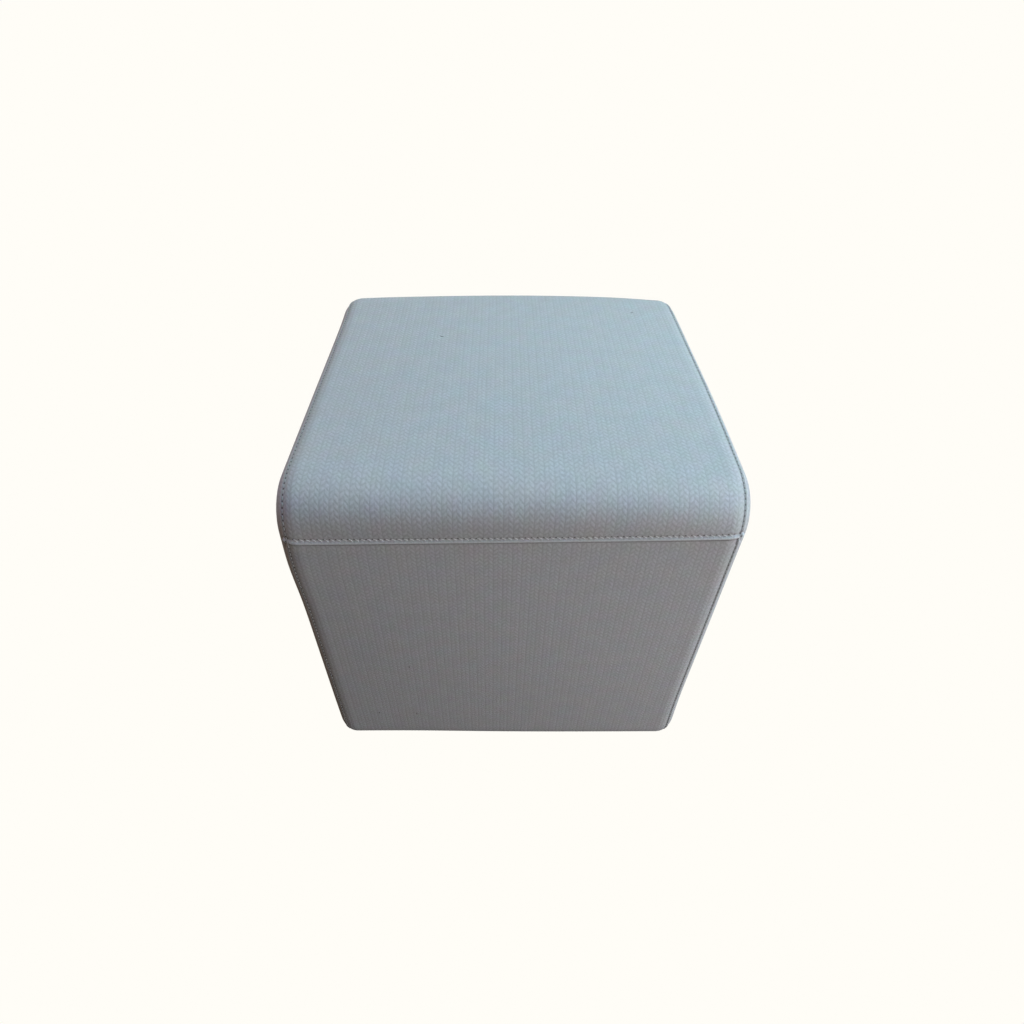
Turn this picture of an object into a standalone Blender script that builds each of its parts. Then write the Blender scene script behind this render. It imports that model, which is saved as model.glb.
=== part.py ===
"""A cube pouf stool: a firm filled cube in a sewn cover of woven upholstery cloth.

The cover is six cloth panels. A top panel makes the seat and rolls down over the front and the back in
a round fall, where a cross seam joins it to the front and back panels. The left and right panels are cut
to the rounded outline of the cube and close its sides along two contour seams, and a base panel closes
the underside. The filled body inside has the same form, one cloth and one gap smaller.

The form is worked out once: an outline in the YZ plane (the cube seen from its side), carried across X
and rounded over at both ends. Every solid is a piece of that form at its own depth.
Metres. +Z is up, the front faces -Y, and the origin is on the floor under the middle of the cube.
"""

import math
from collections import namedtuple

import bmesh
import bpy

# The cube, between its rounded edges and before its faces crown.
WIDTH = 0.440
DEPTH = 0.440
HEIGHT = 0.440

# Radii: the falls at the front and back of the seat, the turn at the foot of the front and back, and
# the rounding that the contour seams run along.
FRONT_FALL = 0.052
BACK_FALL = 0.058
FOOT_TURN = 0.038
EDGE_TURN = 0.0235

# How far each face swells at its middle. The seat keeps some of its crown where its falls begin, and the
# swell of a side fades in towards the middle of the cube as this power of the distance from it.
SEAT_CROWN = 0.012
FALL_CROWN = 0.0045
FACE_CROWN = 0.0035
SIDE_CROWN = 0.004
SIDE_FADE = 5

# The front fall is fuller than a round one. It swells most half way round, and the swell fades towards
# the edges of the cube as this power of the distance from its middle.
FALL_FULLNESS = 0.0085
FULLNESS_FADE = 6

# The cloth, and the gap that pieces keep from each other.
CLOTH = 0.002
GAP = 0.0003

# The seams. A cross seam lies where its fall ends, in a shallow sewn channel. It runs a little downhill
# to the left, and the cube leans a little to the right, as a hand-sewn cover settles.
SEAM_HEIGHT = 0.3900
SEAM_FALL_TO_LEFT = 0.0080
SEAM_DRIFT_REACH = 0.060
CHANNEL_DEPTH = 0.0012
CHANNEL_REACH = 0.012
CONTOUR_SEAM_ANGLE = math.radians(42.0)
FOOT_SEAM_ANGLE = math.radians(32.0)
LEAN = 0.0055

# How finely the form is divided.
SEAT_STEPS = 7
FALL_STEPS = 6
FACE_STEPS = 5
FOOT_STEPS = 3
BASE_STEPS = 4
BASE_END_STEPS = 2
ACROSS_STEPS = 8
EDGE_STEPS = 3
SIDE_RINGS = (0.80, 0.55, 0.28)

PART_NAME = "cube_pouf_stool"
CLOTH_COLOUR = (0.36, 0.40, 0.44, 1.0)
CLOTH_ROUGHNESS = 0.90
FILLING_COLOUR = (0.80, 0.77, 0.68, 1.0)
FILLING_ROUGHNESS = 0.95
SMOOTH_ANGLE = math.radians(40.0)

HALF_WIDTH = WIDTH / 2
HALF_DEPTH = DEPTH / 2

# A run of the outline: its length, where it starts, the centre it turns about (None on a straight run),
# its radius and the direction that it faces at its start, in degrees from +Y towards +Z.
Run = namedtuple("Run", "length start centre radius facing")

# A place on the outline: its point, the direction that it faces, and the swell of the cube there.
Place = namedtuple("Place", "y z facing_y facing_z crown")


def straight(start, end, facing):
    """A straight run from one (y, z) to another."""
    return Run(math.dist(start, end), start, None, 0.0, facing)


def turn(centre, radius, facing):
    """A quarter turn about a centre, from the direction it first faces round by 90 degrees."""
    return Run(radius * math.pi / 2, None, centre, radius, facing)


# The outline, from the front end of the flat base up the front, over the seat and down the back.
FRONT_Y, BACK_Y = -HALF_DEPTH, HALF_DEPTH
OUTLINE = (
    turn((FRONT_Y + FOOT_TURN, FOOT_TURN), FOOT_TURN, 270.0),
    straight((FRONT_Y, FOOT_TURN), (FRONT_Y, HEIGHT - FRONT_FALL), 180.0),
    turn((FRONT_Y + FRONT_FALL, HEIGHT - FRONT_FALL), FRONT_FALL, 180.0),
    straight((FRONT_Y + FRONT_FALL, HEIGHT), (BACK_Y - BACK_FALL, HEIGHT), 90.0),
    turn((BACK_Y - BACK_FALL, HEIGHT - BACK_FALL), BACK_FALL, 90.0),
    straight((BACK_Y, HEIGHT - BACK_FALL), (BACK_Y, FOOT_TURN), 0.0),
    turn((BACK_Y - FOOT_TURN, FOOT_TURN), FOOT_TURN, 0.0),
    straight((BACK_Y - FOOT_TURN, 0.0), (FRONT_Y + FOOT_TURN, 0.0), -90.0),
)
AROUND = sum(run.length for run in OUTLINE)


def run_start(index):
    """Distance along the outline at which its run of this index starts."""
    return sum(run.length for run in OUTLINE[:index])


# Distances along the outline at which the cross seams and the foot seams lie.
FRONT_SEAM = run_start(1) + SEAM_HEIGHT - FOOT_TURN
BACK_SEAM = run_start(5) + HEIGHT - BACK_FALL - SEAM_HEIGHT
FRONT_FOOT_SEAM = FOOT_TURN * FOOT_SEAM_ANGLE
BACK_FOOT_SEAM = run_start(7) - FRONT_FOOT_SEAM


def steps(start, end, count):
    """count + 1 evenly spaced values, from start to end."""
    return [start + (end - start) * i / count for i in range(count + 1)]


def crown_at(y, z, facing_y, facing_z):
    """Swell of the form at a place on the outline.

    The seat's part is a parabola from front to back that fades out round the falls. The front and
    back faces swell as half a sine wave between their foot and their cross seam.
    """
    seat = FALL_CROWN + (SEAT_CROWN - FALL_CROWN) * (1 - (y / HALF_DEPTH) ** 2)
    face = FACE_CROWN * math.sin(math.pi * min(z / SEAM_HEIGHT, 1.0))
    return max(facing_z, 0.0) * seat + abs(facing_y) * face


def fullness_at(facing_y, facing_z):
    """Extra swell of the front fall: a squared sine of twice the angle that it has turned through."""
    return FALL_FULLNESS * (2 * min(facing_y, 0.0) * max(facing_z, 0.0)) ** 2


def channel_at(distance):
    """Depth of the sewn channel: a smooth trough that ends CHANNEL_REACH from a cross seam."""
    away = min(abs(distance - FRONT_SEAM), abs(distance - BACK_SEAM))
    return CHANNEL_DEPTH * max(0.0, 1 - away / CHANNEL_REACH) ** 2


def place_at(distance):
    """The outline's place at a distance along it."""
    remaining = distance % AROUND
    for run in OUTLINE:
        if remaining <= run.length:
            break
        remaining -= run.length
    if run.centre is None:
        angle = math.radians(run.facing)
        y = run.start[0] + math.sin(angle) * remaining
        z = run.start[1] - math.cos(angle) * remaining
    else:
        angle = math.radians(run.facing) - remaining / run.radius
        y = run.centre[0] + math.cos(angle) * run.radius
        z = run.centre[1] + math.sin(angle) * run.radius
    facing_y, facing_z = math.cos(angle), math.sin(angle)
    return Place(y, z, facing_y, facing_z, crown_at(y, z, facing_y, facing_z) - channel_at(distance))


def drifted(distance, x):
    """A distance along the outline, moved with the cross seam beside it, which is lower at the left."""
    drift = SEAM_FALL_TO_LEFT / 2 * x / HALF_WIDTH
    front = drift * max(0.0, 1 - abs(distance - FRONT_SEAM) / SEAM_DRIFT_REACH)
    back = drift * max(0.0, 1 - abs(distance - BACK_SEAM) / SEAM_DRIFT_REACH)
    return distance + front - back


def settled(x, y, z):
    """The point after the sides swell and the cube leans."""
    share = x / HALF_WIDTH
    over_y = max(0.0, 1 - (y / HALF_DEPTH) ** 2)
    over_z = max(0.0, 1 - (2 * z / HEIGHT - 1) ** 2)
    swell = SIDE_CROWN * share**SIDE_FADE * over_y * over_z
    return (x + swell + LEAN * (z / HEIGHT - 0.5), y, z)


def form_point(distance, x, angle, inset):
    """A point of the form, inset below its outer face.

    x is its place across the cube. angle is how far the surface has turned over towards the side
    there: 0 on the flat, a quarter turn on the side face, and negative on the left.
    """
    place = place_at(drifted(distance, x))
    share = x / HALF_WIDTH
    fullness = fullness_at(place.facing_y, place.facing_z)
    rise = place.crown * (1 - share**2) + fullness * (1 - share**FULLNESS_FADE)
    out = rise - EDGE_TURN * (1 - math.cos(angle)) - inset * math.cos(angle)
    y = place.y + place.facing_y * out
    z = place.z + place.facing_z * out
    return settled(x - inset * math.sin(angle), y, z)


def edge_x(angle):
    """Place across the cube at which its edge has turned over by this angle."""
    return math.copysign(HALF_WIDTH - EDGE_TURN, angle) + EDGE_TURN * math.sin(angle)


def side_point(distance, side, scale, inset):
    """A point of the flat of a side face, on a ring that is its rim scaled about its middle."""
    rim = place_at(distance)
    y = (rim.y - rim.facing_y * EDGE_TURN) * scale
    z = HEIGHT / 2 + (rim.z - rim.facing_z * EDGE_TURN - HEIGHT / 2) * scale
    return settled(side * (HALF_WIDTH - inset), y, z)


def across_places(margin):
    """(x, angle) pairs from one contour seam to the other, ending a margin short of both."""
    last = CONTOUR_SEAM_ANGLE - margin / EDGE_TURN
    flat = HALF_WIDTH - EDGE_TURN
    left = [(edge_x(-angle), -angle) for angle in steps(last, 0.0, EDGE_STEPS)[:-1]]
    middle = [(x, 0.0) for x in steps(-flat, flat, ACROSS_STEPS)]
    right = [(edge_x(angle), angle) for angle in steps(0.0, last, EDGE_STEPS)[1:]]
    return left + middle + right


def seam_rows(seam):
    """The rows that carry the sewn channel beside a cross seam, below and above it."""
    below = [seam - CHANNEL_REACH, seam - CHANNEL_REACH / 2, seam]
    above = [seam, seam + CHANNEL_REACH / 2, seam + CHANNEL_REACH]
    return below, above


FRONT_CHANNEL, FRONT_CHANNEL_ABOVE = seam_rows(FRONT_SEAM)
BACK_CHANNEL, BACK_CHANNEL_ABOVE = seam_rows(BACK_SEAM)

# Each panel's rows: distances along the outline from its first seam to its last.
FRONT_ROWS = (
    steps(FRONT_FOOT_SEAM, run_start(1), FOOT_STEPS)[:-1]
    + steps(run_start(1), FRONT_CHANNEL[0], FACE_STEPS)[:-1]
    + FRONT_CHANNEL
)
TOP_ROWS = (
    FRONT_CHANNEL_ABOVE
    + steps(FRONT_CHANNEL_ABOVE[-1], run_start(3), FALL_STEPS)[1:-1]
    + steps(run_start(3), run_start(4), SEAT_STEPS)[:-1]
    + steps(run_start(4), BACK_CHANNEL[0], FALL_STEPS)[:-1]
    + BACK_CHANNEL
)
BACK_ROWS = (
    BACK_CHANNEL_ABOVE
    + steps(BACK_CHANNEL_ABOVE[-1], run_start(6), FACE_STEPS)[1:-1]
    + steps(run_start(6), BACK_FOOT_SEAM, FOOT_STEPS)
)
BASE_ROWS = (
    steps(BACK_FOOT_SEAM, run_start(7), BASE_END_STEPS)[:-1]
    + steps(run_start(7), AROUND, BASE_STEPS)[:-1]
    + steps(AROUND, AROUND + FRONT_FOOT_SEAM, BASE_END_STEPS)
)
ALL_ROWS = FRONT_ROWS[:-1] + TOP_ROWS[:-1] + BACK_ROWS[:-1] + BASE_ROWS[:-1]


def remove_everything():
    """Empties the scene."""
    for item in list(bpy.data.objects):
        bpy.data.objects.remove(item, do_unlink=True)


def make_material(name, colour, roughness):
    """A Principled BSDF of one colour."""
    material = bpy.data.materials.new(name)
    material.use_nodes = True
    shader = material.node_tree.nodes["Principled BSDF"]
    shader.inputs["Base Color"].default_value = colour
    shader.inputs["Roughness"].default_value = roughness
    shader.inputs["Metallic"].default_value = 0.0
    return material


def add_part(name, shape, material, collection):
    """The bmesh as an object with outward faces, shaded smooth except at its cut edges."""
    bmesh.ops.recalc_face_normals(shape, faces=shape.faces[:])
    if shape.calc_volume(signed=True) < 0:
        bmesh.ops.reverse_faces(shape, faces=shape.faces[:])
    mesh = bpy.data.meshes.new(name)
    shape.to_mesh(mesh)
    shape.free()
    mesh.shade_smooth()
    mesh.set_sharp_from_angle(angle=SMOOTH_ANGLE)
    mesh.materials.append(material)
    part = bpy.data.objects.new(name, mesh)
    collection.objects.link(part)
    return part


def band_panel(rows):
    """A panel that spans from contour seam to contour seam: a flat grid, extruded to two layers.

    The grid's columns lie across the cube and its rows along the outline. Its two layers become the
    cloth's outer and inner face.
    """
    rows = [rows[0] + GAP / 2] + rows[1:-1] + [rows[-1] - GAP / 2]
    columns = across_places(GAP / 2)
    last_row, last_column = len(rows) - 1, len(columns) - 1
    shape = bmesh.new()
    bmesh.ops.create_grid(shape, x_segments=last_column, y_segments=last_row, size=1.0)
    outer = shape.verts[:]
    extruded = bmesh.ops.extrude_face_region(shape, geom=shape.faces[:])
    inner = [item for item in extruded["geom"] if isinstance(item, bmesh.types.BMVert)]
    for layer, inset in ((outer, 0.0), (inner, CLOTH)):
        for vert in layer:
            x, angle = columns[round((vert.co.x + 1) / 2 * last_column)]
            distance = rows[round((vert.co.y + 1) / 2 * last_row)]
            vert.co = form_point(distance, x, angle, inset)
    return shape


def side_rings(side, first_angle, inset):
    """Rings of a side face, from its contour seam round the edge and in over the flat."""
    rings = []
    for angle in steps(first_angle, math.pi / 2, EDGE_STEPS + 1):
        angle *= side
        rings.append([form_point(distance, edge_x(angle), angle, inset) for distance in ALL_ROWS])
    for scale in SIDE_RINGS:
        rings.append([side_point(distance, side, scale, inset) for distance in ALL_ROWS])
    return rings


def side_middle(side, inset):
    """The middle of a side face."""
    return side_point(0.0, side, 0.0, inset)


def closed_loft(rings, start, end):
    """A closed solid through rings of points, drawn to a single point beyond its first and last ring."""
    shape = bmesh.new()
    loops = [[shape.verts.new(point) for point in ring] for ring in rings]
    count = len(loops[0])
    for first, second in zip(loops, loops[1:]):
        for i in range(count):
            j = (i + 1) % count
            shape.faces.new((first[i], first[j], second[j], second[i]))
    for loop, point in ((loops[0], start), (loops[-1], end)):
        tip = shape.verts.new(point)
        for i in range(count):
            shape.faces.new((loop[i], loop[(i + 1) % count], tip))
    return shape


def side_panel(side):
    """A side panel: its outer face from the middle out to the contour seam, and its inner face back."""
    first_angle = CONTOUR_SEAM_ANGLE + GAP / 2 / EDGE_TURN
    outer = side_rings(side, first_angle, 0.0)
    inner = side_rings(side, first_angle, CLOTH)
    return closed_loft(outer[::-1] + inner, side_middle(side, 0.0), side_middle(side, CLOTH))


def filled_body():
    """The filling's outer form, a cloth and a gap below the cover: rings from the left to the right."""
    inset = CLOTH + GAP
    left = side_rings(-1, CONTOUR_SEAM_ANGLE, inset)
    right = side_rings(1, CONTOUR_SEAM_ANGLE, inset)
    between = [
        [form_point(distance, x, angle, inset) for distance in ALL_ROWS]
        for x, angle in across_places(0.0)[1:-1]
    ]
    rings = left[::-1] + between + right
    return closed_loft(rings, side_middle(-1, inset), side_middle(1, inset))


def main():
    remove_everything()
    collection = bpy.data.collections.new(PART_NAME)
    bpy.context.scene.collection.children.link(collection)
    shapes = {
        "filled_body": filled_body(),
        "top_panel": band_panel(TOP_ROWS),
        "front_panel": band_panel(FRONT_ROWS),
        "back_panel": band_panel(BACK_ROWS),
        "base_panel": band_panel(BASE_ROWS),
        "side_panel_left": side_panel(-1),
        "side_panel_right": side_panel(1),
    }
    for name, shape in shapes.items():
        if name == "filled_body":
            material = make_material("foam_filling", FILLING_COLOUR, FILLING_ROUGHNESS)
        else:
            material = make_material("woven_cloth_" + name, CLOTH_COLOUR, CLOTH_ROUGHNESS)
        add_part(name, shape, material, collection)


main()
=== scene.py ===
"""Cube pouf stool: a firm foam-filled cube in a sewn cover of chevron-ribbed upholstery cloth.

The sections follow the stool as it is put together: camera, filling, the cover's panels, its top-stitching,
the lint that has settled on it, and then the floor and the light. Metres, +Z up, front towards -Y.
"""

import math

import bpy
import numpy as np
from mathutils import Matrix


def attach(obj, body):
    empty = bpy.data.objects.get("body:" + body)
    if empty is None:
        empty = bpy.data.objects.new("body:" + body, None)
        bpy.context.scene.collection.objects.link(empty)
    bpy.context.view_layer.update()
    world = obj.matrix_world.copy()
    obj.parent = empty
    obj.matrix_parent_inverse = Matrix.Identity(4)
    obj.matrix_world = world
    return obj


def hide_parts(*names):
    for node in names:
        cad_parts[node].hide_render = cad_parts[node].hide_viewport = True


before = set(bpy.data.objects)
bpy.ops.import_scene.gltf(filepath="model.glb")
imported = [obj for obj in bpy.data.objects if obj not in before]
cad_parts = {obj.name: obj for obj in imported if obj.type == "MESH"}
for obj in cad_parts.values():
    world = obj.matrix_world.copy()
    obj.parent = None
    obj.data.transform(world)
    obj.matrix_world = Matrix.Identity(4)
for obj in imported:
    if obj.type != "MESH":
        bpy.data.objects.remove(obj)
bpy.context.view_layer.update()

# ---------------------------------------------------------------------------------------------------
# Camera. It stands close in front of the stool, 0.8 m above the floor, and looks down on it at about 44
# degrees through a wide lens.
# ---------------------------------------------------------------------------------------------------
EYE = (-0.0074, -0.6148, 0.8051)
LOOK_DOWN = 0.7612
SENSOR = 0.036
FOCAL_LENGTH = 0.02185
SHIFT_X = 0.0093
NEAREST_SEEN = 0.01

camera_data = bpy.data.cameras.new("camera")
camera_data.sensor_width = SENSOR * 1000
camera_data.lens = FOCAL_LENGTH * 1000
camera_data.shift_x = SHIFT_X
camera_data.clip_start = NEAREST_SEEN
camera = bpy.data.objects.new("camera", camera_data)
camera.location = EYE
camera.rotation_euler = (math.pi / 2 - LOOK_DOWN, 0.0, 0.0)
bpy.context.scene.collection.objects.link(camera)
bpy.context.scene.camera = camera

# ---------------------------------------------------------------------------------------------------
# Filling. One firm block of foam with a softer wrap, cut as a rounded cube a cloth's thickness smaller
# than the cover. Its form is an outline in the YZ plane, carried across X and rounded over at both ends.
# ---------------------------------------------------------------------------------------------------
WIDTH = DEPTH = HEIGHT = 0.440
FRONT_FALL, BACK_FALL = 0.052, 0.058
FOOT_TURN, EDGE_TURN = 0.038, 0.0235
SEAT_CROWN, FALL_CROWN = 0.012, 0.0045
FALL_FULLNESS, FULLNESS_FADE = 0.0085, 6
FACE_CROWN, SIDE_CROWN, SIDE_FADE = 0.0035, 0.004, 5
SEAM_HEIGHT, SEAM_FALL_TO_LEFT, SEAM_DRIFT_REACH = 0.390, 0.0080, 0.060
LEAN = 0.0055
CLOTH, GAP = 0.002, 0.0003
HALF_WIDTH, HALF_DEPTH = WIDTH / 2, DEPTH / 2
FLAT_HALF = HALF_WIDTH - EDGE_TURN
QUARTER = math.pi / 2
TINY = 1e-9

# The outline's runs, from the front end of the flat base up the front, over the seat and down the back:
# length, the (y, z) that a turn goes about or a straight run starts from, radius, facing in degrees.
RUNS = np.array(
    [
        (QUARTER * FOOT_TURN, FOOT_TURN - HALF_DEPTH, FOOT_TURN, FOOT_TURN, 270),
        (HEIGHT - FRONT_FALL - FOOT_TURN, -HALF_DEPTH, FOOT_TURN, 0, 180),
        (QUARTER * FRONT_FALL, FRONT_FALL - HALF_DEPTH, HEIGHT - FRONT_FALL, FRONT_FALL, 180),
        (DEPTH - FRONT_FALL - BACK_FALL, FRONT_FALL - HALF_DEPTH, HEIGHT, 0, 90),
        (QUARTER * BACK_FALL, HALF_DEPTH - BACK_FALL, HEIGHT - BACK_FALL, BACK_FALL, 90),
        (HEIGHT - BACK_FALL - FOOT_TURN, HALF_DEPTH, HEIGHT - BACK_FALL, 0, 0),
        (QUARTER * FOOT_TURN, HALF_DEPTH - FOOT_TURN, FOOT_TURN, FOOT_TURN, 0),
        (DEPTH - 2 * FOOT_TURN, HALF_DEPTH - FOOT_TURN, 0, 0, -90),
    ]
)
RUN_STARTS = np.concatenate([[0.0], np.cumsum(RUNS[:, 0])])
AROUND = RUN_STARTS[-1]
FRONT_SEAM = RUN_STARTS[1] + SEAM_HEIGHT - FOOT_TURN
BACK_SEAM = RUN_STARTS[5] + HEIGHT - BACK_FALL - SEAM_HEIGHT


def outline(distance):
    """Point and facing of the outline: on a straight run the start plus the distance along it, on a turn
    the centre plus the radius at an angle that falls by distance over radius."""
    distance = np.mod(distance, AROUND)
    run = np.clip(np.searchsorted(RUN_STARTS, distance, side="right") - 1, 0, len(RUNS) - 1)
    _, y, z, radius, facing = RUNS[run].T if distance.ndim == 1 else np.moveaxis(RUNS[run], -1, 0)
    along = distance - RUN_STARTS[run]
    start = np.radians(facing)
    angle = start - np.where(radius > 0, along / np.maximum(radius, TINY), 0.0)
    straight = np.where(radius > 0, 0.0, along)
    y = y + radius * np.cos(angle) + straight * np.sin(start)
    z = z + radius * np.sin(angle) - straight * np.cos(start)
    return y, z, np.cos(angle), np.sin(angle)


def crown(y, z, facing_y, facing_z):
    """Swell of the cube: a parabola from front to back on the seat, half a sine wave up the faces."""
    seat = FALL_CROWN + (SEAT_CROWN - FALL_CROWN) * (1 - (y / HALF_DEPTH) ** 2)
    face = FACE_CROWN * np.sin(np.pi * np.minimum(z / SEAM_HEIGHT, 1.0))
    return np.maximum(facing_z, 0.0) * seat + np.abs(facing_y) * face


def fullness(facing_y, facing_z):
    """Extra swell of the front fall, a squared sine of twice its angle: it stays nearly level well past
    the end of the seat, rolls over tightly and ends upright."""
    return FALL_FULLNESS * (2 * np.minimum(facing_y, 0) * np.maximum(facing_z, 0)) ** 2


# Where a hand-filled cover is uneven: the middle of each soft bump (x, y, z), how far it reaches along
# each axis and how far it pushes the surface along each axis, in millimetres.
UNEVEN_PLACES = (
    ("left below the front seam", (-220, -210, 345), (60, 120, 45), (-2.4, 0, 0)),
    ("right edge of the seat", (220, -60, 450), (60, 130, 60), (2.2, 0, 0)),
    ("back left corner", (-200, 215, 430), (90, 60, 70), (-2.0, 0.8, 1.8)),
    ("back right corner", (205, 215, 430), (40, 50, 60), (-0.8, -0.6, -1.6)),
    ("foot at the front left", (-130, -220, 10), (110, 60, 40), (0, 1.6, 0)),
    ("foot at the front right", (215, -215, 25), (30, 60, 50), (2.0, 0, 0)),
)


def settled(x, y, z):
    """The point after the sides swell, as a product of two parabolas, the cube leans to the right and each
    uneven place pushes it, by an amount that falls off as a bell curve."""
    over = np.maximum(0, 1 - (y / HALF_DEPTH) ** 2) * np.maximum(0, 1 - (2 * z / HEIGHT - 1) ** 2)
    x = x + SIDE_CROWN * (x / HALF_WIDTH) ** SIDE_FADE * over + LEAN * (z / HEIGHT - 0.5)
    point = np.stack(np.broadcast_arrays(x, y, z), axis=-1)
    for _, middle, reach, push in UNEVEN_PLACES:
        away = (point * 1000 - middle) / reach
        point = point + np.exp(-(away**2).sum(axis=-1, keepdims=True)) * np.array(push) / 1000
    return point


def cube_point(distance, across, lift):
    """A point of the cover: the outline at this distance, plus its crown faded by a parabola across the
    cube, then turned over at the edge as a quarter circle. across is measured along the cloth, and lift
    is the height above the cover's own face."""
    distance, across, lift = np.broadcast_arrays(distance, across, lift)
    angle = np.sign(across) * np.maximum(np.abs(across) - FLAT_HALF, 0) / EDGE_TURN
    x = np.clip(across, -FLAT_HALF, FLAT_HALF) + EDGE_TURN * np.sin(angle)
    drift = SEAM_FALL_TO_LEFT / 2 * x / HALF_WIDTH
    front = drift * np.maximum(0, 1 - np.abs(distance - FRONT_SEAM) / SEAM_DRIFT_REACH)
    back = drift * np.maximum(0, 1 - np.abs(distance - BACK_SEAM) / SEAM_DRIFT_REACH)
    y, z, facing_y, facing_z = outline(distance + front - back)
    rise = crown(y, z, facing_y, facing_z) * (1 - (x / HALF_WIDTH) ** 2)
    rise = rise + fullness(facing_y, facing_z) * (1 - (x / HALF_WIDTH) ** FULLNESS_FADE)
    out = rise - EDGE_TURN * (1 - np.cos(angle)) + lift * np.cos(angle)
    return settled(x + lift * np.sin(angle), y + facing_y * out, z + facing_z * out)


def add_piece(name, points, faces, materials=()):
    """A mesh object of these points and faces, shaded smooth, that rides on the cube."""
    mesh = bpy.data.meshes.new(name)
    mesh.from_pydata(points.reshape(-1, 3), [], faces.tolist() if hasattr(faces, "tolist") else faces)
    mesh.validate()
    mesh.shade_smooth()
    for material in materials:
        mesh.materials.append(material)
    piece = bpy.data.objects.new(name, mesh)
    bpy.context.scene.collection.objects.link(piece)
    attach(piece, "root")
    return piece


def grid_faces(rows, columns, start=0, wrap=False):
    """Quads of a grid of points that is stored row by row. wrap joins its last column to its first."""
    row = np.arange(rows - 1)[:, None]
    column = np.arange(columns if wrap else columns - 1)[None]
    beside = (column + 1) % columns
    corners = (row * columns + column, row * columns + beside)
    corners += ((row + 1) * columns + beside, (row + 1) * columns + column)
    return start + np.stack([corner.ravel() for corner in corners], axis=-1)


def linear(code):
    """A linear RGBA colour from an sRGB hex code: the sRGB curve undone for each channel."""
    levels = np.array([int(code[i : i + 2], 16) / 255 for i in (1, 3, 5)])
    curve = np.where(levels <= 0.04045, levels / 12.92, ((levels + 0.055) / 1.055) ** 2.4)
    return (*curve.tolist(), 1.0)


def add_node(material, kind, links=None, **settings):
    """Adds a shader node. Settings name its properties, and links its inputs: a socket of another node is
    joined, and any other value is set."""
    tree = material.node_tree
    node = tree.nodes.new(kind)
    for name, value in settings.items():
        setattr(node, name, value)
    for name, value in (links or {}).items():
        if isinstance(value, bpy.types.NodeSocket):
            tree.links.new(value, node.inputs[name])
        else:
            node.inputs[name].default_value = value
    return node


# Polyurethane foam under a bonded fibre wrap, cut with a hot wire: a soft, pale, fully matt surface.
foam = bpy.data.materials.new("polyurethane_foam_wrap")
foam.use_nodes = True
foam_shader = foam.node_tree.nodes["Principled BSDF"]
foam_shader.inputs["Roughness"].default_value = 0.95
foam_fibres = add_node(foam, "ShaderNodeTexNoise", {"Scale": 900.0, "Detail": 3.0})
foam_place = add_node(foam, "ShaderNodeTexCoord")
foam.node_tree.links.new(foam_place.outputs["Object"], foam_fibres.inputs["Vector"])
foam_colour = add_node(
    foam,
    "ShaderNodeMix",
    {"Factor": foam_fibres.outputs["Fac"], "A": linear("#d8d2c2"), "B": linear("#ece7da")},
    data_type="RGBA",
)
foam.node_tree.links.new(foam_colour.outputs["Result"], foam_shader.inputs["Base Color"])

FILLING_STEPS_AROUND, FILLING_RING, FILLING_SIDE_STEPS = 176, 0.010, 20
FILLING_CLEARANCE, FILLING_SLACK = 3 * GAP, 0.003
filling_around = np.arange(FILLING_STEPS_AROUND) * AROUND / FILLING_STEPS_AROUND
filling_edge = FLAT_HALF + EDGE_TURN * QUARTER
filling_across = np.linspace(-filling_edge, filling_edge, round(2 * filling_edge / FILLING_RING))
filling_lift = -(CLOTH + FILLING_CLEARANCE) - FILLING_SLACK
filling_band = cube_point(filling_around[None], filling_across[:, None], filling_lift)


def side_rings(side, lift, scales):
    """The flat of a side face: its rim scaled about its middle, ring by ring, and its middle last."""
    y, z, facing_y, facing_z = outline(filling_around)
    middle = HEIGHT / 2
    y = (y - facing_y * EDGE_TURN) * scales[:, None]
    z = middle + (z - facing_z * EDGE_TURN - middle) * scales[:, None]
    return settled(np.full_like(y, side * (HALF_WIDTH + lift)), y, z)


filling_scales = np.linspace(1.0, 0.0, FILLING_SIDE_STEPS + 1)[1:-1]
filling_rings = np.concatenate(
    [
        side_rings(-1, filling_lift, filling_scales)[::-1],
        filling_band,
        side_rings(1, filling_lift, filling_scales),
    ]
)
filling_poles = [side_rings(side, filling_lift, np.array([0.0]))[0, 0] for side in (-1, 1)]
ring_count, ring_size = filling_rings.shape[:2]
filling_points = np.concatenate([filling_rings.reshape(-1, 3), filling_poles])
first_ring = np.arange(ring_size)
last_ring = (ring_count - 1) * ring_size + first_ring
pole = ring_count * ring_size
filling_faces = grid_faces(ring_count, ring_size, wrap=True)[:, ::-1].tolist()
filling_faces += np.stack([np.roll(first_ring, -1), first_ring, np.full(ring_size, pole)], -1).tolist()
filling_faces += np.stack([last_ring, np.roll(last_ring, -1), np.full(ring_size, pole + 1)], -1).tolist()
filling = add_piece("filling", filling_points, filling_faces, [foam])

# The wrap fills the cover: PUFF_CAP is the free swelling at which a point has taken up its whole slack.
PUFF_PRESSURE, PUFF_FRAMES, PUFF_QUALITY, PUFF_CAP = 4.0, 20, 5, 0.030


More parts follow.
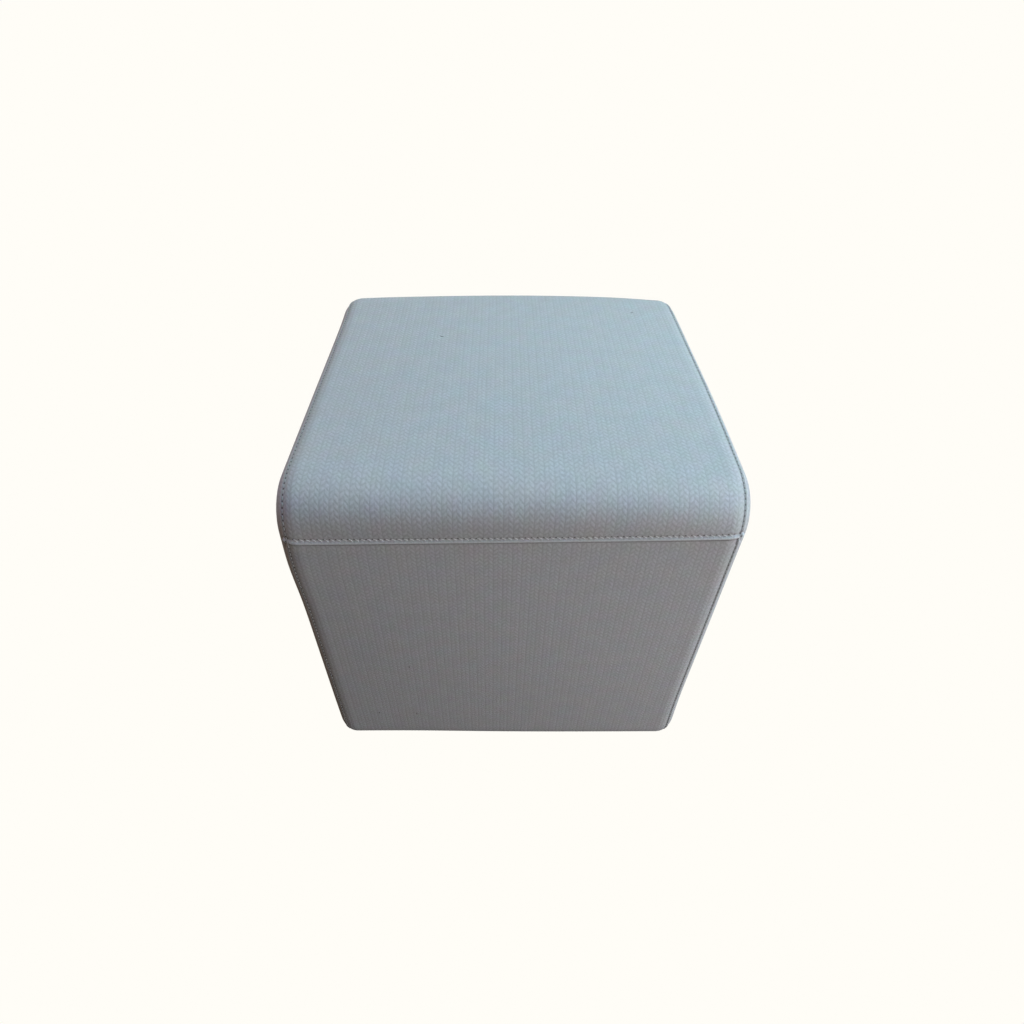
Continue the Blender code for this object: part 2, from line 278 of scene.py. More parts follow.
def puff_out(piece, slack):
    """Lets the piece swell as inflated cloth, free of gravity, and moves each point out along its normal by
    the slack times its swelling over PUFF_CAP, kept between 0 and 1."""
    mesh = piece.data
    before, normals, after = (np.zeros(len(mesh.vertices) * 3) for _ in range(3))
    mesh.vertices.foreach_get("co", before)
    mesh.vertices.foreach_get("normal", normals)
    cloth_modifier = piece.modifiers.new("swelling", "CLOTH")
    cloth_modifier.settings.quality = PUFF_QUALITY
    cloth_modifier.settings.use_pressure = True
    cloth_modifier.settings.uniform_pressure_force = PUFF_PRESSURE
    cloth_modifier.settings.effector_weights.gravity = 0.0
    cloth_modifier.point_cache.frame_end = PUFF_FRAMES
    for step in range(1, PUFF_FRAMES + 1):
        bpy.context.scene.frame_set(step)
    swollen = piece.evaluated_get(bpy.context.evaluated_depsgraph_get())
    swollen.data.vertices.foreach_get("co", after)
    piece.modifiers.remove(cloth_modifier)
    bpy.context.scene.frame_set(1)
    outward = ((after - before) * normals).reshape(-1, 3).sum(axis=1)
    share = np.clip(outward / PUFF_CAP, 0, 1)
    mesh.vertices.foreach_set("co", before + normals * np.repeat(share * slack, 3))
    mesh.update()


puff_out(filling, FILLING_SLACK)
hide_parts("filled_body")

# ---------------------------------------------------------------------------------------------------
# Top panel. The seat and its two round falls, one piece of cloth cut 427 mm wide. Its edges are folded
# under, laid over the panels beside it and top-stitched: a crest at the fold, then the stitched groove.
# ---------------------------------------------------------------------------------------------------
# The weave's ribs are 9.1 mm wide, and the floats follow each other along a rib every 5.25 mm.
RIB, FLOAT_PITCH = 0.00912, 0.00525
RIB_RELIEF, ROW_SHARE, WHOLE_SHARE = 0.00008, 0.8, 0.2
# A contour seam lies 42 degrees round the side's edge. Each seam is stitched about 5 mm in from its fold.
CONTOUR_ANGLE = math.radians(42.0)
CONTOUR = FLAT_HALF + EDGE_TURN * CONTOUR_ANGLE
CROSS_STITCHING, CONTOUR_STITCHING = 0.0056, 0.0049
STITCH = 0.0056
# Height of a fold against the distance in from it, and what goes under it. A contour fold is flatter.
FOLD_AT = np.array([0.0, 0.4, 1.0, 2.5, 4.0, 5.4, 7.0, 9.0, 12.0]) / 1000
FOLD_LIFT = np.array([-0.9, 0.5, 1.2, 1.5, 0.6, -0.7, -0.1, 0.15, 0.0]) / 1000
TUCK_DEPTH, TUCK_REACH = 0.0015, 0.011
CONTOUR_RELIEF = 0.28
# A faint crease on the seat: where it runs, where it bends and by how much, then its size.
DENT_FROM_SEAM, DENT_START, DENT_BEND = 0.151, -0.100, 5.4
DENT_MIDDLE, DENT_REACH, DENT_WIDTH, DENT_DEPTH = -0.055, 0.058, 0.009, 0.0005
# A panel's grid: close rows at an edge, wider ones between, and how far in the ribs fade to nothing.
FINE_ROWS = [0.0, 0.4, 1.0, 1.7, 2.5, 3.3, 4.0, 4.7, 5.4, 6.2, 7.0, 8.0, 9.0, 10.5, 12.0, 15.0, 18.0]
FINE_ROWS = np.array(FINE_ROWS) / 1000
FINE_COLUMNS_REACH, ROW_STEP, COLUMNS_PER_RIB = 0.0095, 0.006, 6
SIDE_FADE_IN, END_FADE_IN = 0.006, 0.004


def fold_lift(inward):
    """Height of a folded, top-stitched edge at a distance in from the fold: a crest, then a groove."""
    return np.interp(inward, FOLD_AT, FOLD_LIFT)


def tuck_lift(inward):
    """Height of an edge that goes under a fold: it dips as a squared cosine that ends TUCK_REACH in."""
    near = np.clip(inward / TUCK_REACH, 0, 1)
    return -TUCK_DEPTH * np.cos(near * QUARTER) ** 2


def rib_lift(across):
    """Relief of the ribs: the root of a whole sine wave's size, for two rounded rows of floats, plus the
    root of half a sine wave, for the groove beside them."""
    share = np.mod(across / RIB, 1.0)
    rows = np.abs(np.sin(2 * np.pi * share)) ** 0.5 * ROW_SHARE
    whole = np.sin(np.pi * share) ** 0.5 * WHOLE_SHARE
    return RIB_RELIEF * (rows + whole - ROW_SHARE)


def fine_to_coarse(length):
    """Places from one edge of a panel to the other: close together at both edges, ROW_STEP apart between."""
    inner = np.linspace(FINE_ROWS[-1], length - FINE_ROWS[-1], round(length / ROW_STEP))
    return np.concatenate([FINE_ROWS, inner[1:-1], (length - FINE_ROWS)[::-1]])


def rib_columns(half, trim=0.0):
    """Places across a panel from -half to half: six to a rib, with close ones at both edges. The outermost
    are trim in from the edge."""
    fine = half - FINE_ROWS[FINE_ROWS < FINE_COLUMNS_REACH]
    fine[0] -= trim
    reach = math.floor(fine[-1] / RIB * COLUMNS_PER_RIB - 0.5) / COLUMNS_PER_RIB * RIB
    inner = np.arange(-reach, reach + TINY, RIB / COLUMNS_PER_RIB)
    return np.concatenate([-fine, inner, fine[::-1]])


def panel_mesh(name, outer, inner, flat_across, flat_along, materials):
    """A cloth panel with an outer and an inner layer and a wall round its edge. Its UV map holds the place
    on the flat cloth in metres."""
    rows, columns = outer.shape[:2]
    count = rows * columns
    top = grid_faces(rows, columns)
    bottom = grid_faces(rows, columns, start=count)[:, ::-1]
    index = np.arange(count).reshape(rows, columns)
    rim = np.concatenate([index[0, :-1], index[:-1, -1], index[-1, :0:-1], index[:0:-1, 0]])
    ahead = np.roll(rim, -1)
    wall = np.stack([ahead, rim, rim + count, ahead + count], axis=-1)
    points = np.concatenate([outer.reshape(-1, 3), inner.reshape(-1, 3)])
    faces = np.concatenate([top, bottom, wall])
    normal = np.cross(outer[0, 1] - outer[0, 0], outer[1, 0] - outer[0, 0])
    if np.dot(normal, outer[0, 0] - inner[0, 0]) < 0:
        faces = faces[:, ::-1]
    piece = add_piece(name, points, faces, materials)
    flat = np.stack(np.broadcast_arrays(flat_across, flat_along), axis=-1).reshape(-1, 2)
    flat = np.concatenate([flat, flat])
    corners = np.zeros(len(piece.data.loops), dtype=np.int32)
    piece.data.loops.foreach_get("vertex_index", corners)
    piece.data.uv_layers.new(name="cloth")
    piece.data.uv_layers["cloth"].data.foreach_set("uv", flat[corners].astype(np.float32).ravel())
    return piece


def dent_lift(along, across):
    """A faint crease on the seat: a trough whose section is a bell curve and whose middle line bends away
    from the front as a parabola. Its depth fades at both ends as a bell curve of the fourth power."""
    middle = FRONT_SEAM + DENT_FROM_SEAM + DENT_BEND * np.maximum(across - DENT_START, 0) ** 2
    ends = np.exp(-(((across - DENT_MIDDLE) / DENT_REACH) ** 4))
    return -DENT_DEPTH * ends * np.exp(-(((along - middle) / DENT_WIDTH) ** 2))


def band_panel(name, start, end, lift_at_ends, materials):
    """A panel from contour seam to contour seam. lift_at_ends gives the height at its two ends."""
    along = (start + fine_to_coarse(end - start))[:, None]
    half = CONTOUR - GAP / 2
    across = rib_columns(half)[None]
    edge_in = half - np.abs(across)
    first, last = lift_at_ends
    lift = first(along - start) + last(end - along) + CONTOUR_RELIEF * fold_lift(edge_in)
    lift = lift + dent_lift(along, across)
    ribs = rib_lift(across) * np.clip(edge_in / SIDE_FADE_IN, 0, 1)
    ribs = ribs * np.clip((along - start) / END_FADE_IN, 0, 1) * np.clip((end - along) / END_FADE_IN, 0, 1)
    outer = cube_point(along, across, lift + ribs)
    inner = cube_point(along, across, -CLOTH)
    return panel_mesh(name, outer, inner, across, along, materials)


def maths(material, operation, *values):
    """One step of arithmetic in a material: the values are numbers or sockets."""
    return add_node(material, "ShaderNodeMath", dict(enumerate(values)), operation=operation).outputs[0]


def mound(material, place, half_width):
    """A smooth mound over a place: one less the square of its distance over half its width, not below 0."""
    share = maths(material, "DIVIDE", place, half_width)
    squared = maths(material, "MULTIPLY", share, share)
    return maths(material, "MAXIMUM", maths(material, "SUBTRACT", 1.0, squared), 0.0)


# Matt polyester upholstery cloth, light grey. Each rib has two rows of floats that lean towards each other,
# so the rib reads as a row of chevrons. The right row stands higher, and a groove, darkened with painted
# shade, parts the ribs.
cloth = bpy.data.materials.new("woven_chevron_rib_upholstery")
cloth.use_nodes = True
cloth_shader = cloth.node_tree.nodes["Principled BSDF"]
cloth_shader.inputs["Roughness"].default_value = 0.9
cloth_shader.inputs["Specular IOR Level"].default_value = 0.15
cloth_shader.inputs["Sheen Weight"].default_value = 0.08
cloth_shader.inputs["Sheen Roughness"].default_value = 0.5
cloth_place = add_node(cloth, "ShaderNodeUVMap", uv_map="cloth").outputs["UV"]


def cloth_noise(per_metre, detail):
    """A cloudy pattern on the flat cloth, with this many clouds to a metre."""
    links = {"Vector": cloth_place, "Scale": per_metre, "Detail": detail}
    return add_node(cloth, "ShaderNodeTexNoise", links)


# Nothing woven runs quite straight: each 6 mm of cloth wanders by up to a third of a millimetre.
WANDER, WANDERS_PER_METRE = 0.0007, 160.0
wander = cloth_noise(WANDERS_PER_METRE, 1.0).outputs["Color"]
wander = add_node(
    cloth, "ShaderNodeVectorMath", {0: wander, 1: (0.5, 0.5, 0.5)}, operation="SUBTRACT"
).outputs[0]
wander = add_node(cloth, "ShaderNodeVectorMath", {0: wander, "Scale": WANDER}, operation="SCALE").outputs[0]
wandered = add_node(cloth, "ShaderNodeVectorMath", {0: cloth_place, 1: wander}, operation="ADD").outputs[0]
wandered = add_node(cloth, "ShaderNodeSeparateXYZ", {"Vector": wandered})
rib_share = maths(cloth, "FRACT", maths(cloth, "DIVIDE", wandered.outputs["X"], RIB))
float_count = maths(cloth, "DIVIDE", wandered.outputs["Y"], FLOAT_PITCH)
FLOAT_WIDTH, GROOVE_HALF = 0.38, 0.07
LEFT_FLOATS, GROOVE_HEIGHT = 0.85, -0.12


def float_row(centre, half_width, lean, offset):
    """Height of a row of floats, 0 to 1: mounds along the row, cut to a mound across it. The row's middle
    and half width are shares of a rib, lean is the slope of a float, and offset a share of its pitch."""
    across = maths(cloth, "SUBTRACT", rib_share, centre)
    leaning = maths(cloth, "MULTIPLY_ADD", across, lean * RIB / FLOAT_PITCH, float_count)
    along = maths(cloth, "SUBTRACT", maths(cloth, "FRACT", maths(cloth, "ADD", leaning, offset)), 0.5)
    height = maths(cloth, "MULTIPLY", mound(cloth, across, half_width), mound(cloth, along, FLOAT_WIDTH))
    return maths(cloth, "SQRT", height)


left_floats = float_row(0.25, 0.235, -0.65, 0.38)
right_floats = float_row(0.73, 0.25, 0.85, 0.0)
groove_ahead = mound(cloth, rib_share, GROOVE_HALF)
groove_behind = mound(cloth, maths(cloth, "SUBTRACT", rib_share, 1.0), GROOVE_HALF)
groove = maths(cloth, "MAXIMUM", groove_ahead, groove_behind)
weave = maths(cloth, "MULTIPLY_ADD", left_floats, LEFT_FLOATS, right_floats)
weave = maths(cloth, "MULTIPLY_ADD", groove, GROOVE_HEIGHT, weave)

# The needle has left a hole at both ends of each stitch, a pit 2 mm wide in the groove of the seam, painted
# dark as painted shade.
HOLE, HOLE_INWARD = 0.00105, 0.0010
place = add_node(cloth, "ShaderNodeSeparateXYZ", {"Vector": cloth_place})
hole_pit_and_shade = 0.0
for along_name, beside_name, lines in (
    ("X", "Y", (FRONT_SEAM + CROSS_STITCHING + HOLE_INWARD, BACK_SEAM - CROSS_STITCHING - HOLE_INWARD)),
    ("Y", "X", (-CONTOUR + CONTOUR_STITCHING, CONTOUR - CONTOUR_STITCHING)),
):
    count = maths(cloth, "ADD", maths(cloth, "DIVIDE", place.outputs[along_name], STITCH), 0.5)
    along = maths(cloth, "MULTIPLY", maths(cloth, "SUBTRACT", maths(cloth, "FRACT", count), 0.5), STITCH)
    for line in lines:
        beside = maths(cloth, "SUBTRACT", place.outputs[beside_name], line)
        pit = maths(cloth, "MULTIPLY", mound(cloth, along, HOLE), mound(cloth, beside, HOLE))
        hole_pit_and_shade = maths(cloth, "MAXIMUM", pit, hole_pit_and_shade)

# The floats are lighter than the ground, partly the yarns' own tone and partly painted light: a painted
# highlight on the floats, painted shade in the groove and the gaps between floats. Patches of 18 mm and
# yarns of 2.4 mm are lighter or darker too.
PATCHES_PER_METRE, YARNS_PER_METRE = 55.0, 420.0
GROUND_SHADE, FLOAT_TONE_AND_PAINTED_LIGHT, PATCH_SHADE, YARN_SHADE = 0.08, 0.6, 0.6, 1.9
patches = cloth_noise(PATCHES_PER_METRE, 2.0)
yarn = cloth_noise(YARNS_PER_METRE, 2.0)
shade = maths(cloth, "MULTIPLY_ADD", weave, FLOAT_TONE_AND_PAINTED_LIGHT, GROUND_SHADE)
for pattern, depth in ((patches, PATCH_SHADE), (yarn, YARN_SHADE)):
    swing = maths(cloth, "SUBTRACT", pattern.outputs["Fac"], 0.5)
    shade = maths(cloth, "MULTIPLY_ADD", swing, depth, shade)
cloth_colour = add_node(
    cloth,
    "ShaderNodeMix",
    {"Factor": shade, "A": linear("#b2b1b0"), "B": linear("#c6c6c7")},
    data_type="RGBA",
).outputs["Result"]

# Dye takes unevenly: patches of 30 mm lean to blue or to pink, and others of 16 mm to green or to mauve.
for patches_per_metre, one, other in ((34.0, "#f6f9ff", "#fff8f6"), (61.0, "#f7fff8", "#fff6ff")):
    dye = cloth_noise(patches_per_metre, 1.0)
    tint = add_node(
        cloth,
        "ShaderNodeMix",
        {"Factor": dye.outputs["Fac"], "A": linear(one), "B": linear(other)},
        data_type="RGBA",
    )
    cloth_colour = add_node(
        cloth,
        "ShaderNodeMix",
        {"Factor": 1.0, "A": cloth_colour, "B": tint.outputs["Result"]},
        data_type="RGBA",
        blend_type="MULTIPLY",
    ).outputs["Result"]

# A fold's crest is painted pale, a painted highlight where it faces the light, and more so on the cross
# seams.
# Painted shade darkens the crease under a cross fold and the stitched groove of a contour seam.
CREST_INWARD, CREST_REACH, CREASE_BELOW = 0.0018, 0.0022, 0.0012
crest_highlight, crease_shade = 0.0, 0.0
for axis, fold, inward, highlight_share in (
    ("Y", FRONT_SEAM, 1, 0.45),
    ("Y", BACK_SEAM, -1, 0.45),
    ("X", CONTOUR, -1, 0.04),
    ("X", -CONTOUR, 1, 0.12),
):
    beside = maths(cloth, "SUBTRACT", place.outputs[axis], fold + inward * CREST_INWARD)
    pale = maths(cloth, "MULTIPLY", mound(cloth, beside, CREST_REACH), highlight_share)
    crest_highlight = maths(cloth, "MAXIMUM", pale, crest_highlight)
# Painted shade in the crease under each cross fold and in each contour seam's stitched groove.
for axis, line, reach, shade_share in (
    ("Y", FRONT_SEAM - CREASE_BELOW, 0.0018, 0.80),
    ("Y", BACK_SEAM + CREASE_BELOW, 0.0018, 0.80),
    ("X", CONTOUR_STITCHING - CONTOUR, 0.0024, 0.15),
    ("X", CONTOUR - CONTOUR_STITCHING, 0.0028, 0.55),
):
    beside = maths(cloth, "SUBTRACT", place.outputs[axis], line)
    dark = maths(cloth, "MULTIPLY", mound(cloth, beside, reach), shade_share)
    crease_shade = maths(cloth, "MAXIMUM", dark, crease_shade)
# Painted highlight on the fold crests, painted shade in the creases and in the needle holes.
for share, tone in ((crest_highlight, "#e6e8ea"), (crease_shade, "#6a6765"), (hole_pit_and_shade, "#4a4644")):
    cloth_colour = add_node(
        cloth, "ShaderNodeMix", {"Factor": share, "A": cloth_colour, "B": linear(tone)}, data_type="RGBA"
    ).outputs["Result"]
cloth.node_tree.links.new(cloth_colour, cloth_shader.inputs["Base Color"])

# Relief: the floats stand 0.08 mm high, with the finer yarns in them, and the needle holes are deep pits.
WEAVE_RELIEF, YARN_RELIEF, HOLE_RELIEF = 0.00008, 0.3, -3.0
relief = maths(cloth, "MULTIPLY_ADD", yarn.outputs["Fac"], YARN_RELIEF, weave)
relief = maths(cloth, "MULTIPLY_ADD", hole_pit_and_shade, HOLE_RELIEF, relief)
cloth_bump = add_node(cloth, "ShaderNodeBump", {"Height": relief, "Distance": WEAVE_RELIEF})
cloth.node_tree.links.new(cloth_bump.outputs["Normal"], cloth_shader.inputs["Normal"])

top_panel = band_panel(
    "seat_top_panel", FRONT_SEAM + GAP / 2, BACK_SEAM - GAP / 2, (fold_lift, fold_lift), [cloth]
)
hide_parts("top_panel")

# ---------------------------------------------------------------------------------------------------
# Front and back panels. Flat upright cloths from the foot seam up to the cross seam, where their upper
# edges go under the folds of the top panel.
# ---------------------------------------------------------------------------------------------------
FOOT_SEAM_ANGLE = math.radians(32.0)
FRONT_FOOT = FOOT_TURN * FOOT_SEAM_ANGLE
BACK_FOOT = RUN_STARTS[7] - FRONT_FOOT


def plain_lift(inward):
    """Height of an edge that is sewn edge to edge: level with the face."""
    return 0.0 * inward


front_panel = band_panel(
    "upright_front_panel", FRONT_FOOT + GAP / 2, FRONT_SEAM - GAP / 2, (plain_lift, tuck_lift), [cloth]
)
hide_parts("front_panel")
back_panel = band_panel(
    "upright_back_panel", BACK_SEAM + GAP / 2, BACK_FOOT - GAP / 2, (tuck_lift, plain_lift), [cloth]
)
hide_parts("back_panel")

# ---------------------------------------------------------------------------------------------------
# Base panel. The hidden cloth that closes the underside, between the foot seams.
# ---------------------------------------------------------------------------------------------------
base_panel = band_panel(
    "underside_base_panel",
    BACK_FOOT + GAP / 2,
    AROUND + FRONT_FOOT - GAP / 2,
    (plain_lift, plain_lift),
    [cloth],
)
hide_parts("base_panel")

# ---------------------------------------------------------------------------------------------------
# Side panels. Each is cut to the rounded outline of the cube, with upright ribs, and turns over the edge
# to the contour seam, where it goes under the folds of the panels beside it.
# ---------------------------------------------------------------------------------------------------
SIDE_TURN = EDGE_TURN * (QUARTER - CONTOUR_ANGLE)
SIDE_TRIM = 0.00001
# A side's place on the cloth is kept clear of the seams' lines, so no needle hole or painted crease shade
# falls across it.
SIDE_CUT_ACROSS, SIDE_CUT_ALONG = 110 * RIB, -190 * FLOAT_PITCH


def corner_radius(y, z):
    """Radius of the flat's corner that a place is nearest to: the outline's own, less the edge's turn."""
    upper = np.where(y < 0, FRONT_FALL, BACK_FALL)
    return np.where(z < HEIGHT / 2, FOOT_TURN, upper) - EDGE_TURN


def side_surface(side, y, z, lift):
    """A point of a side panel from its place on the flat cloth. Inside the rim it lies on the flat; beyond
    it, the way from the nearest point of the rim is bent round a quarter circle towards the middle."""
    radius = corner_radius(y, z)
    half_flat_y = HALF_DEPTH - EDGE_TURN
    half_flat_z = HEIGHT / 2 - EDGE_TURN
    from_y, from_z = y, z - HEIGHT / 2
    corner_y = np.abs(from_y) - (half_flat_y - radius)
    corner_z = np.abs(from_z) - (half_flat_z - radius)
    out_y, out_z = np.maximum(corner_y, 0), np.maximum(corner_z, 0)
    reach = np.hypot(out_y, out_z)
    inside = np.minimum(np.maximum(corner_y, corner_z), 0)
    over = np.clip(reach + inside - radius, 0, None)
    size = np.maximum(reach, TINY)
    facing_y = np.sign(from_y) * out_y / size
    facing_z = np.sign(from_z) * out_z / size
    turned = over / EDGE_TURN
    rim_y, rim_z = from_y - facing_y * over, from_z - facing_z * over + HEIGHT / 2
    x = HALF_WIDTH - EDGE_TURN * (1 - np.cos(turned))
    swell = crown(rim_y + facing_y * EDGE_TURN, rim_z + facing_z * EDGE_TURN, facing_y, facing_z)
    swell = swell * (1 - (x / HALF_WIDTH) ** 2)
    swell = swell + fullness(facing_y, facing_z) * (1 - (x / HALF_WIDTH) ** FULLNESS_FADE)
    out = EDGE_TURN * np.sin(turned) + swell * (over > 0) + lift * np.sin(turned)
    x = side * (x + lift * np.cos(turned))
    return settled(x, rim_y + facing_y * out, rim_z + facing_z * out)


def side_panel(side, name, materials):
    """The panel's grid: upright columns, six to a rib, each from the lower edge of the cut to its upper.
    The cut is a square whose corners are quarter circles."""
    half = HALF_DEPTH - EDGE_TURN + SIDE_TURN - GAP / 2
    y = rib_columns(half, SIDE_TRIM)[None]
    upper_radius = np.where(y < 0, FRONT_FALL, BACK_FALL) - EDGE_TURN + SIDE_TURN
    lower_radius = FOOT_TURN - EDGE_TURN + SIDE_TURN
    rounding = [
        radius - np.sqrt(np.clip(radius**2 - np.clip(np.abs(y) - (half - radius), 0, None) ** 2, 0, None))
        for radius in (lower_radius, upper_radius)
    ]
    lowest = HEIGHT / 2 - half + rounding[0]
    highest = HEIGHT / 2 + half - rounding[1]
    share = fine_to_coarse(2 * half)[:, None] / (2 * half)
    z = lowest + (highest - lowest) * share
    radius = np.where(z < HEIGHT / 2, lower_radius, upper_radius)
    from_y, from_z = np.abs(y), np.abs(z - HEIGHT / 2)
    corner_y = np.clip(from_y - half + radius, 0, None)
    corner_z = np.clip(from_z - half + radius, 0, None)
    corner = np.hypot(corner_y, corner_z)
    straight_in = half - np.maximum(from_y, from_z)
    inward = np.where(corner > 0, np.minimum(radius - corner, straight_in), straight_in)
    inward = np.maximum(inward, 0)
    lift = CONTOUR_RELIEF * tuck_lift(inward) + rib_lift(y) * np.clip(inward / SIDE_FADE_IN, 0, 1)
    outer = side_surface(side, y, z, lift)
    inner = side_surface(side, y, z, -CLOTH)
    return panel_mesh(name, outer, inner, y * side + SIDE_CUT_ACROSS, z + SIDE_CUT_ALONG, materials)


for side, place in ((-1, "left"), (1, "right")):
    panel = side_panel(side, "upright_side_panel_" + place, [cloth])
    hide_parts("side_panel_" + place)

# ---------------------------------------------------------------------------------------------------
# Top-stitching. Thick polyester thread in the cloth's grey, lockstitched through the folds of the top,
# front, back and base panels. Each stitch leans across its seam and dives into a hole at both ends.
# ---------------------------------------------------------------------------------------------------
THREAD, STITCH_LENGTH = 0.00085, 0.0046
CROSS_RISE, CONTOUR_RISE = 0.0008, 0.0003
CROSS_LEAN, CONTOUR_LEAN = 0.60, 0.15
CROSS_END, PLIES_PER_METRE, PLY_RELIEF = 0.010, 700.0, 0.0002
STITCH_RINGS, STITCH_SIDES, STITCH_TAPER, STITCH_SINK = 7, 6, 0.96, 0.7
CROSS_COUNT = 2 * math.floor((CONTOUR - CROSS_END) / STITCH)
CONTOUR_COUNT = math.floor(AROUND / STITCH)


def sewing_thread(name, dark, light):
    """Twisted polyester thread: a slight gloss and plies that show as fine light and dark turns."""
    thread = bpy.data.materials.new(name)
    thread.use_nodes = True
    shader = thread.node_tree.nodes["Principled BSDF"]
    shader.inputs["Roughness"].default_value = 0.6
    shader.inputs["Sheen Weight"].default_value = 0.1
    place = add_node(thread, "ShaderNodeTexCoord").outputs["Object"]
    plies = {"Vector": place, "Scale": PLIES_PER_METRE, "Detail": 1.0}
    plies = add_node(thread, "ShaderNodeTexNoise", plies).outputs["Fac"]
    colour = add_node(
        thread, "ShaderNodeMix", {"Factor": plies, "A": linear(dark), "B": linear(light)}, data_type="RGBA"
    )
    thread.node_tree.links.new(colour.outputs["Result"], shader.inputs["Base Color"])
    bump = add_node(thread, "ShaderNodeBump", {"Height": plies, "Distance": PLY_RELIEF})
    thread.node_tree.links.new(bump.outputs["Normal"], shader.inputs["Normal"])
    return thread


def tube_faces(rings, sides, count):
    """Faces of a number of tubes, stored tube by tube and ring by ring, each closed at both ends."""
    one = grid_faces(rings, sides, wrap=True).tolist()
    one += [list(range(sides))[::-1], list(range((rings - 1) * sides, rings * sides))]
    size = rings * sides
    return [[corner + size * i for corner in face] for i in range(count) for face in one]


def stitch_row(name, count, surface_point, lean, rise, thread):
    """A row of stitches. Each is a tube, round in section, whose radius and height are a half circle from
    end to end and whose middle line leans across the seam. No two are quite alike in length or lean.
    surface_point gives the place of (along the row, across the row, height above the cloth)."""
    random = np.random.default_rng(7)
    at = np.linspace(-1, 1, STITCH_RINGS)
    dome = np.sqrt(1 - (STITCH_TAPER * at) ** 2)
    turn = np.arange(STITCH_SIDES) * 2 * np.pi / STITCH_SIDES
    middles = (np.arange(count) + 0.5)[:, None, None] * STITCH
    length = STITCH_LENGTH * random.uniform(0.92, 1.06, (count, 1, 1))
    slope = lean * random.uniform(0.75, 1.25, (count, 1, 1))
    along = at[None, :, None] * length / 2
    beside = -slope * along + THREAD / 2 * dome[None, :, None] * np.cos(turn)
    lift = (rise * (dome - STITCH_SINK))[None, :, None] + THREAD / 2 * dome[None, :, None] * np.sin(turn)
    points = surface_point(middles + along, beside, lift).reshape(count, -1, 3)
    piece = add_piece(name, points, tube_faces(STITCH_RINGS, STITCH_SIDES, count), [thread])
    return piece


def cross_point(seam, inward):
    """Place in the groove of a cross seam: inward is 1 if its panel lies ahead along the outline, or -1."""
    return lambda along, beside, lift: cube_point(
        seam + inward * (CROSS_STITCHING + beside),
        along - CROSS_COUNT * STITCH / 2,
        fold_lift(CROSS_STITCHING + beside) + lift,
    )


def contour_point(side):
    """Place in the groove of a contour seam, at one side of the cube."""
    return lambda along, beside, lift: cube_point(
        along,
        side * (CONTOUR - CONTOUR_STITCHING - beside),
        CONTOUR_RELIEF * fold_lift(CONTOUR_STITCHING + beside) + lift,
    )


light_thread = sewing_thread("polyester_sewing_thread", "#c2c2c2", "#ececed")
shaded_thread = sewing_thread("polyester_sewing_thread_in_shade", "#8d8b8a", "#b4b3b2")
for name, seam, inward in (("front", FRONT_SEAM, 1), ("back", BACK_SEAM, -1)):
    name = name + "_cross_stitching"
    stitch_row(name, CROSS_COUNT, cross_point(seam, inward), CROSS_LEAN, CROSS_RISE, light_thread)
for name, side in (("left", -1), ("right", 1)):
    name = "contour_stitching_" + name
    stitch_row(name, CONTOUR_COUNT, contour_point(side), CONTOUR_LEAN, CONTOUR_RISE, shaded_thread)

# ---------------------------------------------------------------------------------------------------
# Lint. A few dark fibres that have settled on the seat and the front: thin tubes bent to an arc, each a
# hair above the weave.
# ---------------------------------------------------------------------------------------------------
# Loose spun fibres, such as wool: dark grey, fine and dull.
lint = bpy.data.materials.new("dark_lint_fibre")
lint.use_nodes = True
lint.node_tree.nodes["Principled BSDF"].inputs["Base Color"].default_value = linear("#6c6762")
lint.node_tree.nodes["Principled BSDF"].inputs["Roughness"].default_value = 0.8
FIBRE, FIBRE_RINGS, FIBRE_SIDES, FIBRE_TAPER = 0.0005, 9, 5, 0.95
# Each fibre: distance above the front seam, place across, length (mm), heading and bend (degrees).
FIBRES = np.array(
    [
        (309, -84, 7, -40, 110),
        (376, 151, 4, 20, 60),
        (-205, -114, 3, 75, 40),
        (-310, -164, 4, 10, 70),
        (-312, -115, 3, 50, 30),
        (-186, -36, 3, 140, 60),
    ]
)
fibre_turns = np.linspace(-0.5, 0.5, FIBRE_RINGS)[None]
heading = np.radians(FIBRES[:, 3:4] + FIBRES[:, 4:5] * fibre_turns)
fibre_step = FIBRES[:, 2:3] / 1000 / (FIBRE_RINGS - 1)
fibre_across = (FIBRES[:, 1:2] / 1000 + np.cumsum(np.cos(heading), axis=1) * fibre_step)[..., None]
fibre_along = FRONT_SEAM + FIBRES[:, 0:1] / 1000 + np.cumsum(np.sin(heading), axis=1) * fibre_step
fibre_along = fibre_along[..., None]
fibre_round = np.arange(FIBRE_SIDES) * 2 * np.pi / FIBRE_SIDES
fibre_radius = FIBRE / 2 * np.sqrt(1 - (2 * FIBRE_TAPER * fibre_turns[..., None]) ** 2)
fibre_points = cube_point(
    fibre_along + fibre_radius * np.cos(heading)[..., None] * np.cos(fibre_round),
    fibre_across - fibre_radius * np.sin(heading)[..., None] * np.cos(fibre_round),
    FIBRE / 2 + fibre_radius * np.sin(fibre_round),
)
fibre_faces = tube_faces(FIBRE_RINGS, FIBRE_SIDES, len(FIBRES))
settled_lint = add_piece("settled_lint", fibre_points, fibre_faces, [lint])

# ---------------------------------------------------------------------------------------------------
# Floor and light. A plain pale floor and background, which only the camera sees, and seven round soft
# boxes: neutral low in front, cool above and at the right, warm at the left and weaker behind.
# ---------------------------------------------------------------------------------------------------
BACKGROUND = linear("#fffdf7")
FLOOR_HALF, FLOOR_DROP = 30.0, 0.0005
bpy.context.scene.view_settings.view_transform = "Standard"

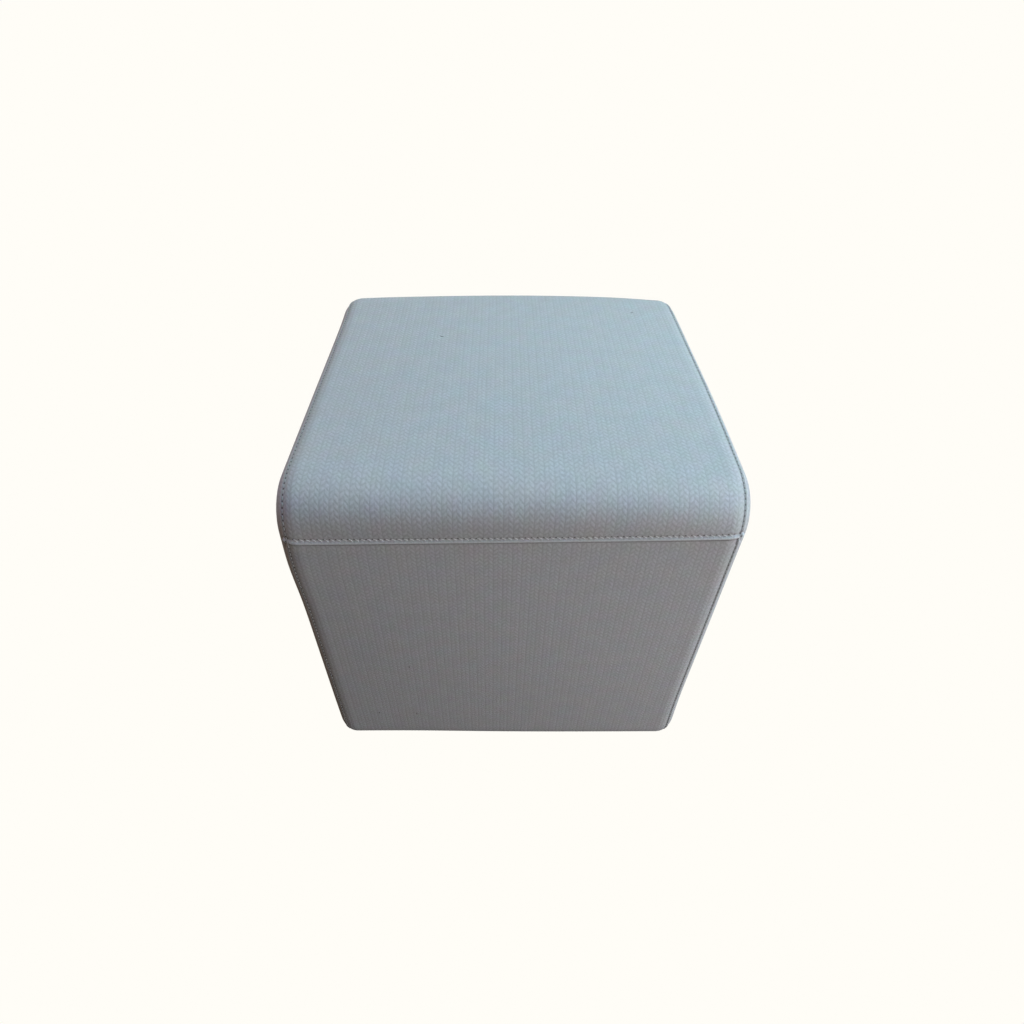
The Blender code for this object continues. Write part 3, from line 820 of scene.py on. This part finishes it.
# Matt paper for a studio floor. It glows in its own colour, so no shadow or shading shows on it.
floor_material = bpy.data.materials.new("matt_studio_paper")
floor_material.use_nodes = True
floor_shader = floor_material.node_tree.nodes["Principled BSDF"]
floor_shader.inputs["Base Color"].default_value = (0.0, 0.0, 0.0, 1)
floor_shader.inputs["Roughness"].default_value = 1.0
floor_shader.inputs["Specular IOR Level"].default_value = 0.0
floor_shader.inputs["Emission Color"].default_value = BACKGROUND
floor_shader.inputs["Emission Strength"].default_value = 1.0
floor_corners = ((-1, -1), (1, -1), (1, 1), (-1, 1))
floor_points = [(x * FLOOR_HALF, y * FLOOR_HALF, -FLOOR_DROP) for x, y in floor_corners]
floor_mesh = bpy.data.meshes.new("floor")
floor_mesh.from_pydata(floor_points, [], [(0, 1, 2, 3)])
floor_mesh.materials.append(floor_material)
floor = bpy.data.objects.new("floor", floor_mesh)
floor.visible_diffuse = False
floor.visible_glossy = False
bpy.context.scene.collection.objects.link(floor)

world = bpy.data.worlds.new("studio")
bpy.context.scene.world = world
world.use_nodes = True
world.node_tree.nodes["Background"].inputs["Color"].default_value = BACKGROUND
world.cycles_visibility.diffuse = False
world.cycles_visibility.glossy = False

# Each soft box: name, place round the stool from the front and height (degrees), and the power of its red,
# green and blue.
SOFT_BOX, AWAY, AIMED_AT = 1.2, 2.0, (0.0, 0.0, 0.3)
for name, place_round, height, power in (
    ("low_front_right", 45, 8, (23.0, 23.0, 23.0)),
    ("right", 90, 30, (16.4, 16.6, 21.0)),
    ("left", 270, 30, (10.8, 8.6, 6.6)),
    ("high_right", 90, 55, (4.3, 13.9, 11.0)),
    ("high_back", 180, 55, (10.4, 10.8, 8.6)),
    ("low_back", 180, 8, (3.0, 3.1, 3.2)),
    ("overhead", 0, 90, (5.0, 7.0, 14.2)),
):
    light = bpy.data.lights.new(name, "AREA")
    light.shape = "DISK"
    light.size = SOFT_BOX
    light.energy = max(power)
    light.color = [share / max(power) for share in power]
    lamp = bpy.data.objects.new(name, light)
    turned, raised = math.radians(place_round), math.radians(height)
    direction = (math.sin(turned) * math.cos(raised), -math.cos(turned) * math.cos(raised), math.sin(raised))
    lamp.location = [aim + AWAY * step for aim, step in zip(AIMED_AT, direction)]
    lamp.rotation_euler = (QUARTER - raised, 0.0, turned)
    bpy.context.scene.collection.objects.link(lamp)
